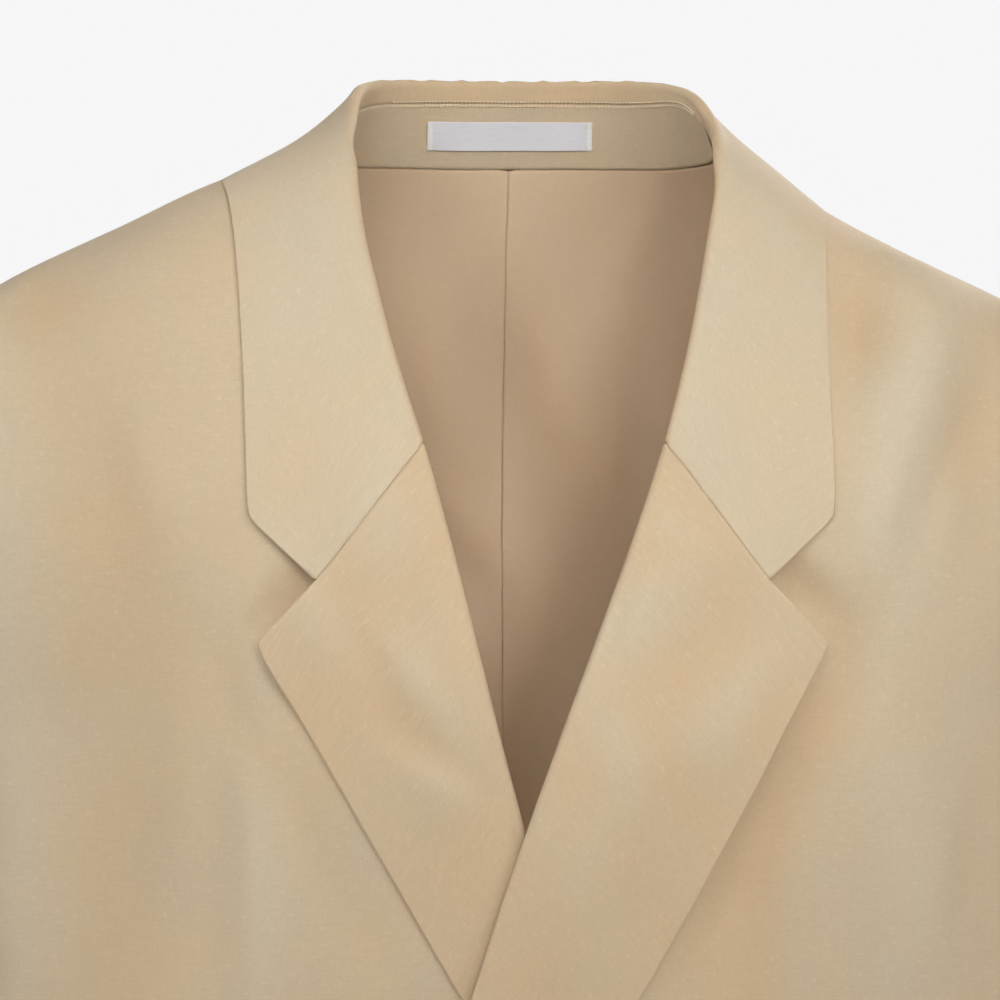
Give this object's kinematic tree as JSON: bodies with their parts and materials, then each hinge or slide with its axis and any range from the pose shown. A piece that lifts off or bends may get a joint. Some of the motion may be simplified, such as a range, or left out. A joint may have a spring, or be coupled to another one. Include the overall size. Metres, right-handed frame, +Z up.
{
  "type": "double-breasted blazer",
  "caption": "Double-breasted linen blazer in its worn shape with no wearer: notched collar and lapels, overlapping fronts, set-in sleeves, open neck, hem and cuffs.",
  "frame": {"origin": "in the neck, on the centre plane, level with the points where the shoulder seams meet the collar, where the wearer's neck and shoulders hold the garment", "axes": "+Z up, the front faces -Y, +X is the wearer's left"},
  "size_m": [0.687, 0.2467, 0.7669],
  "materials": {
    "linen_cloth": "matte plain weave with fine slubs",
    "lining_cloth": "matte, a little darker and browner",
    "label_satin": "pale grey satin, bare",
    "button_horn": "soft gloss"
  },
  "bodies": {
    "root": {"front_left": "linen_cloth", "side_left": "linen_cloth", "back_left": "linen_cloth", "lining_back_left": "lining_cloth", "lapel_left": "linen_cloth", "sleeve_top_left": "linen_cloth", "sleeve_under_left": "linen_cloth", "front_right": "linen_cloth", "side_right": "linen_cloth", "back_right": "linen_cloth", "lining_back_right": "lining_cloth", "lapel_right": "linen_cloth", "sleeve_top_right": "linen_cloth", "sleeve_under_right": "linen_cloth", "collar": "linen_cloth", "collar_stand": "linen_cloth", "label": "label_satin", "button_upper_left": "button_horn", "button_upper_right": "button_horn", "button_lower_left": "button_horn", "button_lower_right": "button_horn"}
  },
  "joints": []
}
